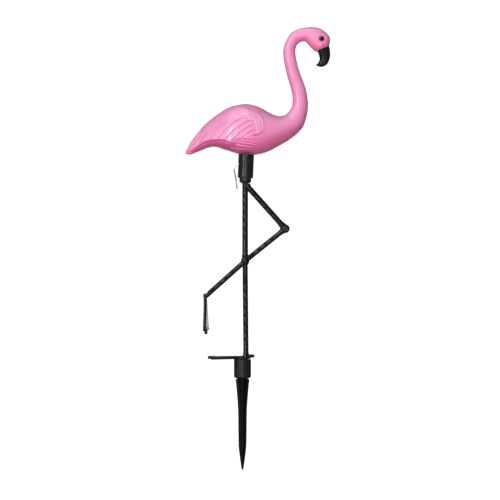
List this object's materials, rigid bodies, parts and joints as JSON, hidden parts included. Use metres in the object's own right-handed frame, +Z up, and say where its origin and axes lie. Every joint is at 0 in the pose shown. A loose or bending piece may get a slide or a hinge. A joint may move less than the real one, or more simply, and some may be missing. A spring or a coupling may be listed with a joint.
{
  "type": "solar flamingo garden light",
  "caption": "Moulded plastic flamingo on one leg with the other bent across it, a solar panel in its back, a battery housing under the belly and a ground spike.",
  "frame": {"origin": "on the axis of the collar and ground spike, at the soil line where the standing foot's underside meets the collar", "axes": "+X the way the bird's beak and breast face, +Y to the bird's left, +Z up along the spike, away from its tip"},
  "size_m": [0.1701, 0.0664, 0.5194],
  "materials": {
    "pink_plastic": "glossy translucent pink moulding",
    "black_gloss_plastic": "glossy black moulding",
    "charcoal_plastic": "satin charcoal moulding",
    "spike_plastic": "matte black moulding",
    "eye_black": "polished black bead",
    "solar_cell": "dark blue cell under a clear glossy coat",
    "clear_film": "thin clear plastic strip"
  },
  "bodies": {
    "root": {"flamingo_body": "pink_plastic", "beak": "black_gloss_plastic", "eye_left": "eye_black", "eye_right": "eye_black", "solar_panel": "solar_cell", "battery_housing": "charcoal_plastic", "battery_pull_tab": "clear_film", "leg_frame": "black_gloss_plastic", "standing_leg": "black_gloss_plastic", "raised_foot": "black_gloss_plastic", "spike_collar": "charcoal_plastic", "ground_spike": "spike_plastic"}
  },
  "joints": []
}
